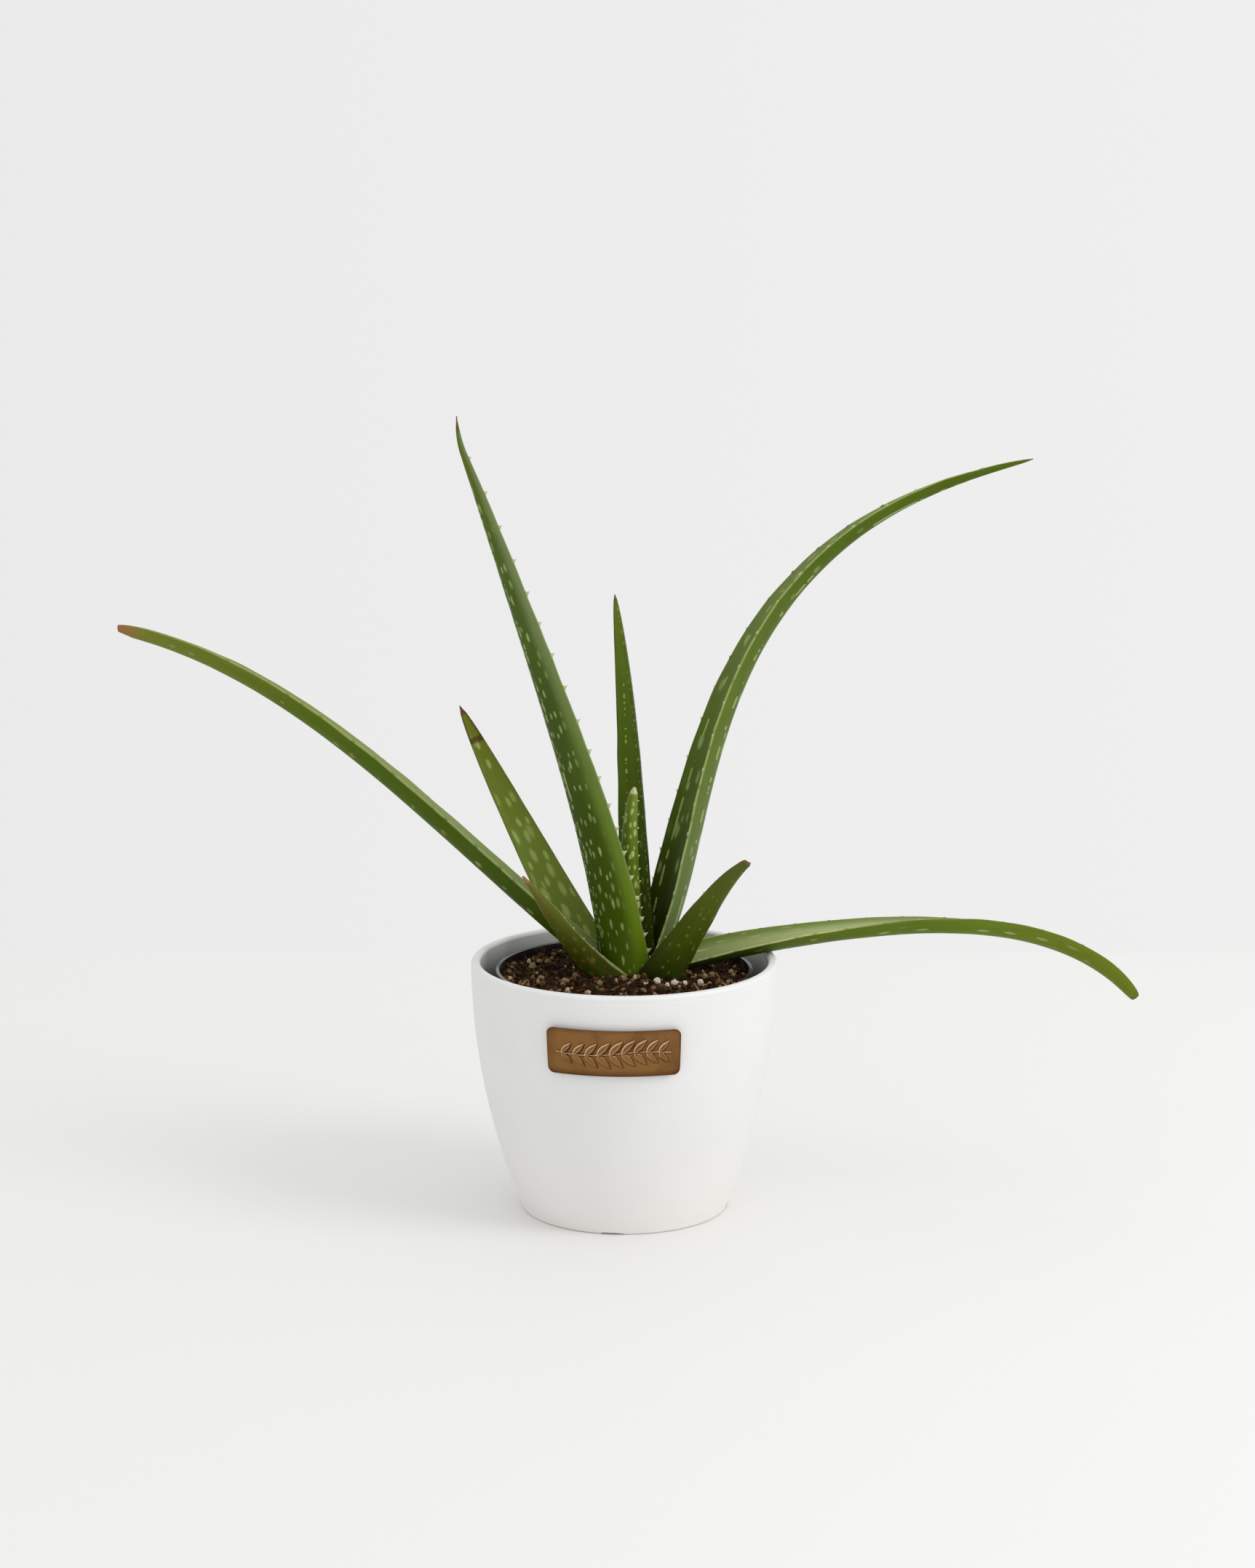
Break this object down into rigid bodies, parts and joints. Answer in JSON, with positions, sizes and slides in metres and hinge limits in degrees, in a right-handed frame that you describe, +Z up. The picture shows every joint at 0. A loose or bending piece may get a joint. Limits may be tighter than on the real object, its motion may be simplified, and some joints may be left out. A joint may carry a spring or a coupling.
{
  "type": "potted aloe plant",
  "caption": "Aloe plant with long tapering toothed leaves, in a thin grow pot inside a round white outer pot with a small metal label plate.",
  "frame": {"origin": "centre of the outer pot's foot, on the surface it stands on; the leaves reach out so evenly that it is also the middle of the whole part's footprint, within a millimetre", "axes": "+Z up, +X to the right as seen facing the label plate, -Y towards the viewer"},
  "size_m": [0.4232, 0.1313, 0.3342],
  "materials": {
    "white_plastic": "matte",
    "black_plastic": "satin",
    "potting_mix": "loose dark peat with pumice",
    "stem": "plant stem",
    "leaf": "waxy leaf with pale spots",
    "pumice": "rough pale stone",
    "copper": "brushed copper colour",
    "adhesive": "foam pad"
  },
  "bodies": {
    "root": {"outer_pot": "white_plastic", "grow_pot": "black_plastic", "potting_mix": "potting_mix", "stem": "stem", "leaf_heart": "leaf", "leaf_centre": "leaf", "leaf_tall": "leaf", "leaf_arched": "leaf", "leaf_short_left": "leaf", "leaf_long_left": "leaf", "leaf_long_right": "leaf", "leaf_front_left": "leaf", "leaf_short_right": "leaf", "label_plate": "copper", "label_pad": "adhesive", "pumice_01": "pumice", "pumice_02": "pumice", "pumice_03": "pumice", "pumice_04": "pumice", "pumice_05": "pumice", "pumice_06": "pumice", "pumice_07": "pumice", "pumice_08": "pumice", "pumice_09": "pumice", "pumice_10": "pumice", "pumice_11": "pumice", "pumice_12": "pumice"}
  },
  "joints": []
}
